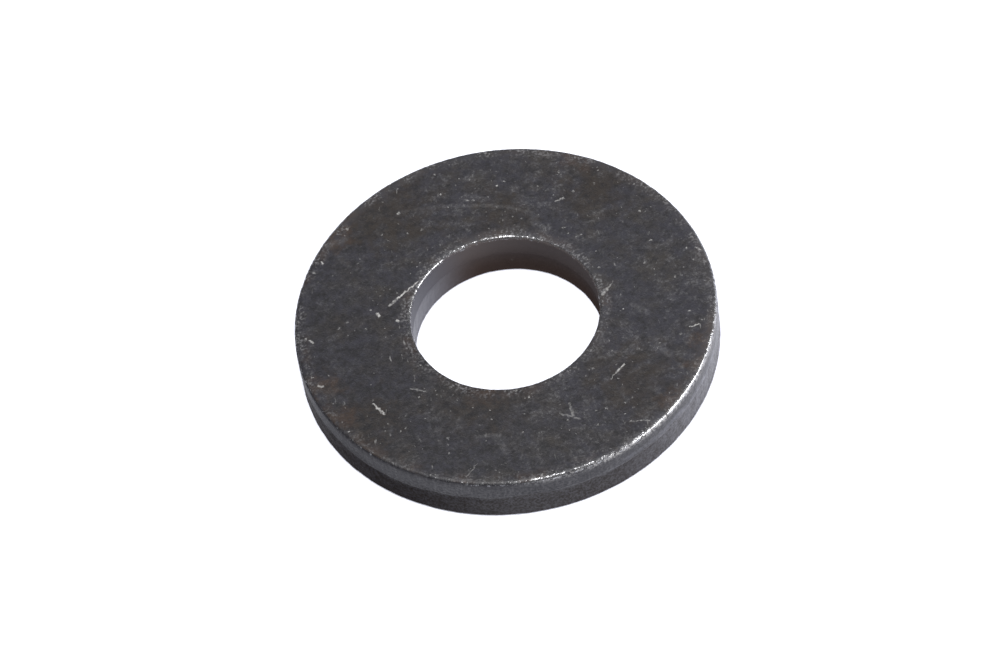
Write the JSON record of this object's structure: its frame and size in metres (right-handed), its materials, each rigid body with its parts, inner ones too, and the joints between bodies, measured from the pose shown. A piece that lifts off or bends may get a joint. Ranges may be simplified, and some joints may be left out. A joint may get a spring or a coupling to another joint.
{
  "type": "flat washer",
  "caption": "Thick round flat washer punched from steel plate, with a plain central hole, for spreading the load under a bolt head or nut.",
  "frame": {"origin": "on the bore's axis, in the plane of the bottom bearing face", "axes": "+Z along the bore's axis, from the bottom bearing face to the top one. X and Y lie in the plane of the face, and every direction in it is alike"},
  "size_m": [0.024, 0.024, 0.003],
  "materials": {
    "washer": "matt black oxide, mottled and finely scratched, worn bright along the edges"
  },
  "bodies": {
    "root": {"washer": "washer"}
  },
  "joints": []
}
